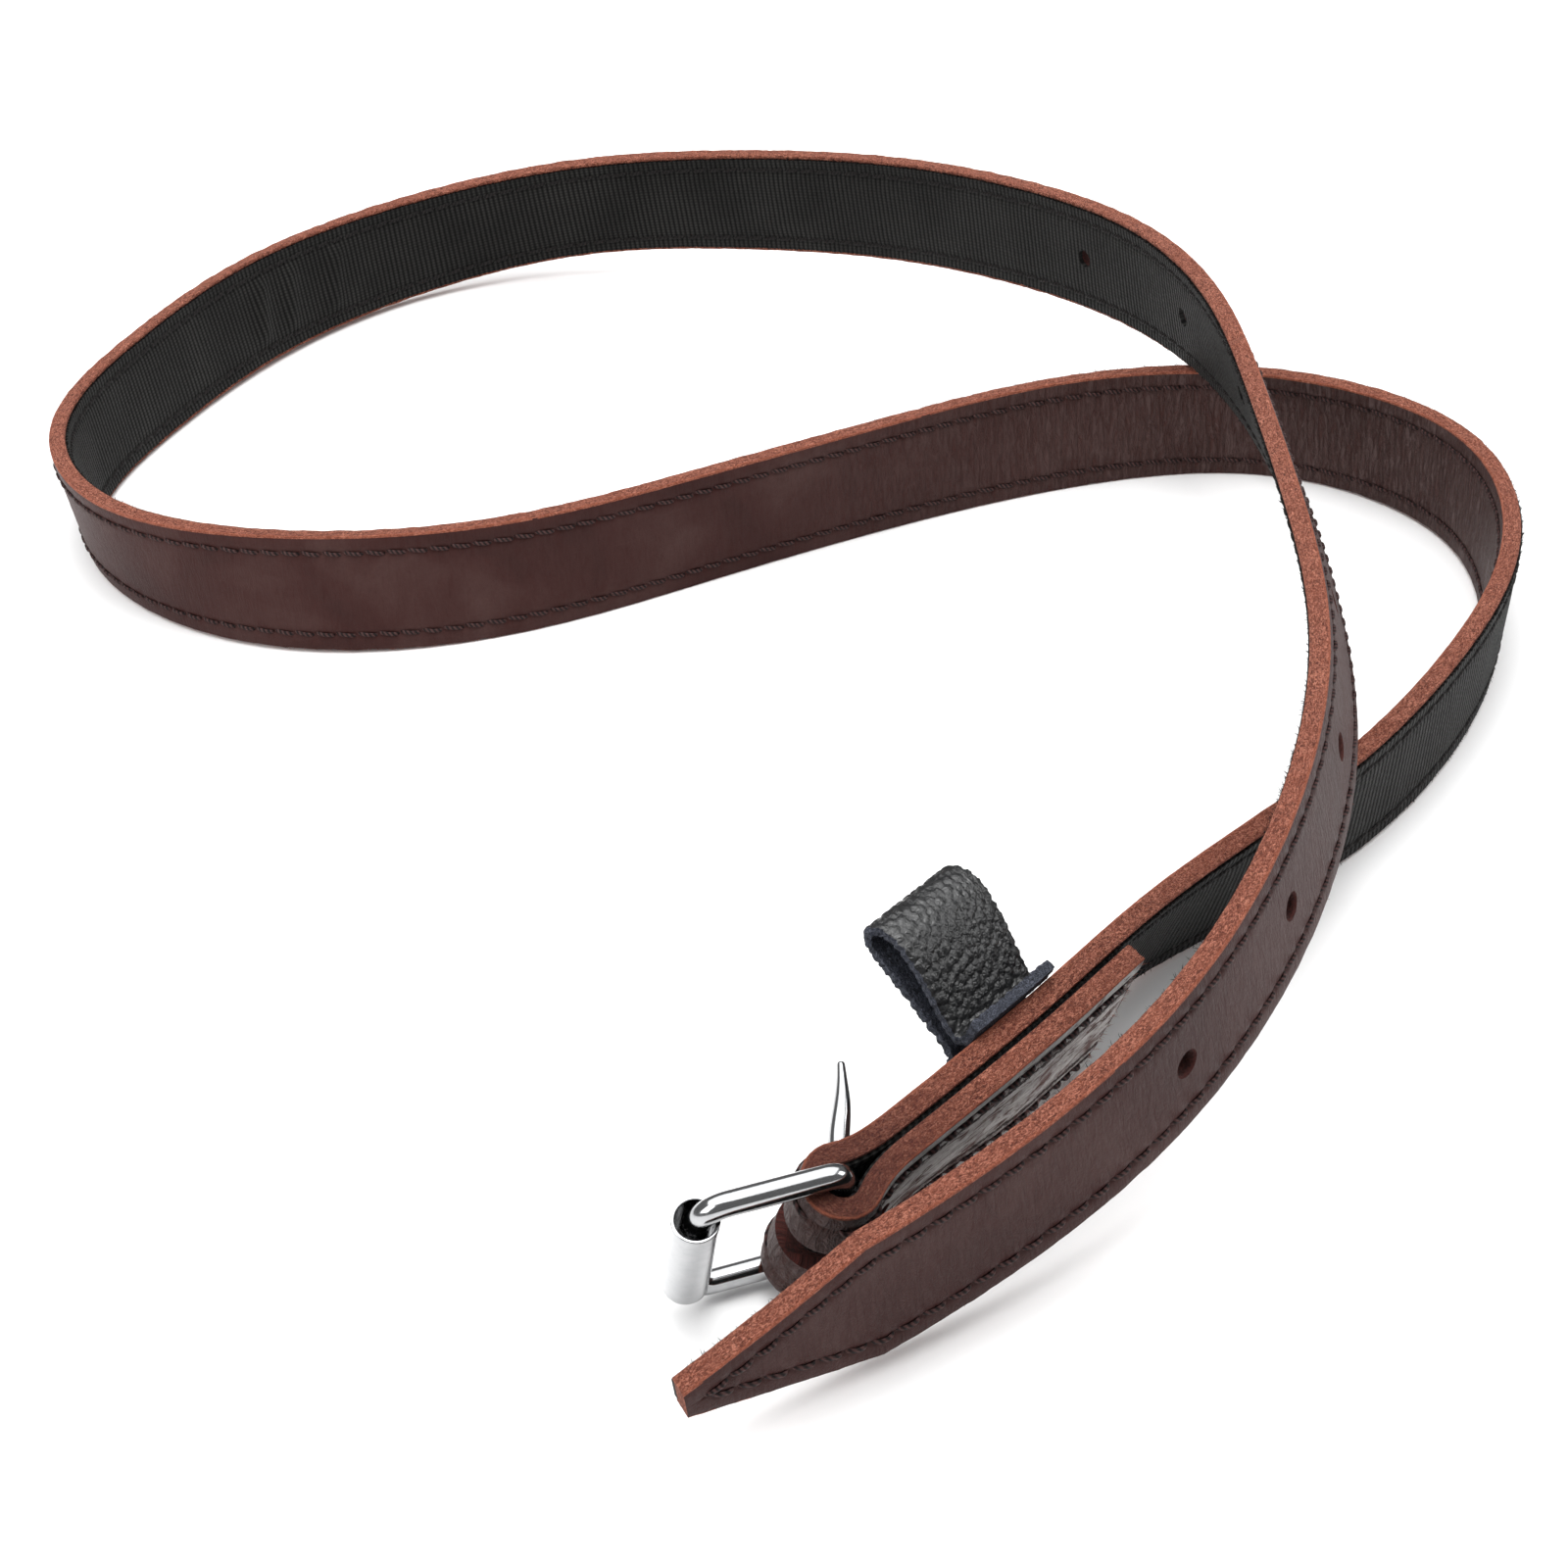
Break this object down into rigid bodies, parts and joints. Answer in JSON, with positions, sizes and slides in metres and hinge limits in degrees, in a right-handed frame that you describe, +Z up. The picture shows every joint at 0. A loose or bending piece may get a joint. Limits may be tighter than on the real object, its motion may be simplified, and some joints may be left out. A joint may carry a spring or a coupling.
{
  "type": "guitar strap",
  "caption": "Long lined leather strap lying in loose loops on its edge, with a pointed punched end, a roller buckle in a sewn fold and a small keeper loop.",
  "frame": {"origin": "centre of the bounding box's base: the strap stands on its lower edge at z = 0", "axes": "+Y along the long side of the loops, away from the buckle; +X towards the smaller loop; +Z up, across the strap's width"},
  "size_m": [0.3021, 0.3989, 0.0535],
  "materials": {
    "brown_leather": "satin grain, raw terracotta edges",
    "black_webbing": "matt ribbed webbing",
    "brown_thread": "waxed twisted thread",
    "black_leather": "pebbled, satin",
    "chrome": "polished"
  },
  "bodies": {
    "strap": {"strap_leather": "brown_leather", "strap_lining": "black_webbing", "edge_thread_face": "brown_thread", "edge_thread_lining": "brown_thread", "fold_thread_upper": "brown_thread", "fold_thread_lower": "brown_thread", "keeper_loop": "black_leather", "keeper_thread_upper": "brown_thread", "keeper_thread_lower": "brown_thread"},
    "frame": {"buckle_frame": "chrome"},
    "roller": {"buckle_roller": "chrome"},
    "tongue": {"buckle_tongue": "chrome"}
  },
  "joints": [
    {"name": "frame_hinge", "type": "hinge", "parent": "strap", "child": "frame", "pos_m": [0.00614, -0.16811, 0.01642], "axis": [0.1266, -0.4086, 0.9039], "range_deg": [-7, 8]},
    {"name": "tongue_hinge", "type": "hinge", "parent": "frame", "child": "tongue", "pos_m": [0.00614, -0.16811, 0.01642], "axis": [0.1266, -0.4086, 0.9039], "range_deg": [-6, 98]},
    {"name": "roller_spin", "type": "hinge", "parent": "frame", "child": "roller", "pos_m": [-0.01443, -0.174, 0.01664], "axis": [0.1266, -0.4086, 0.9039], "continuous": true}
  ]
}
